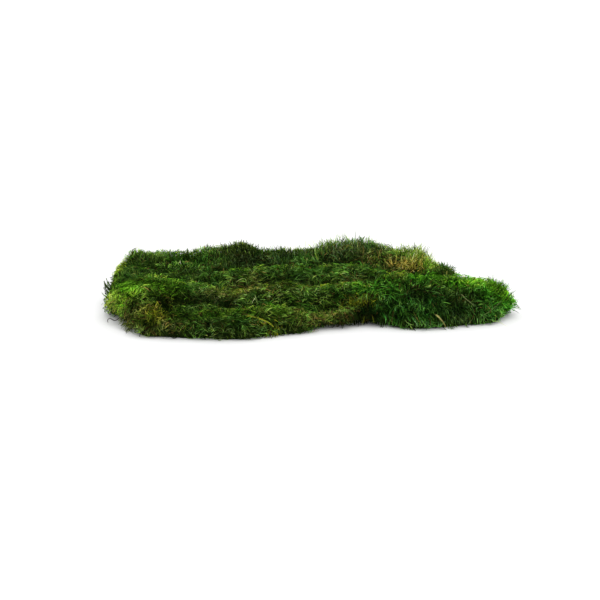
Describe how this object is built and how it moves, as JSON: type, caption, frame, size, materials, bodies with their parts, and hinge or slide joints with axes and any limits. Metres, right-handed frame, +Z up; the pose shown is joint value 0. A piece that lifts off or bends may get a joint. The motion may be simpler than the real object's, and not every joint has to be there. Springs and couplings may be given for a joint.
{
  "type": "moss clump",
  "caption": "Natural clump of green sheet moss: a rumpled mat of fine shoots with raised folds, rolled edges and a few dry stems, straw and roots caught in it.",
  "frame": {"origin": "on the flat underside, under the middle of the clump's box", "axes": "+X to the clump's right as seen from its front, +Y to its back, +Z up"},
  "size_m": [0.3982, 0.2442, 0.0437],
  "materials": {
    "moss": "dense green moss shoots, matt, with brown and yellow dead ones among them",
    "straw": "pale dry grass stem, slightly shiny",
    "dry_yellow": "dry yellow-brown stalk",
    "bark": "dark rough bark",
    "root": "thin black wiry root"
  },
  "bodies": {
    "root": {"moss_mat": "moss", "dry_stem": "straw", "thin_stem": "straw", "straw_flake": "straw", "yellow_strand": "dry_yellow", "twig_stub": "bark", "black_root": "root", "front_root": "root", "curly_root": "root"}
  },
  "joints": []
}
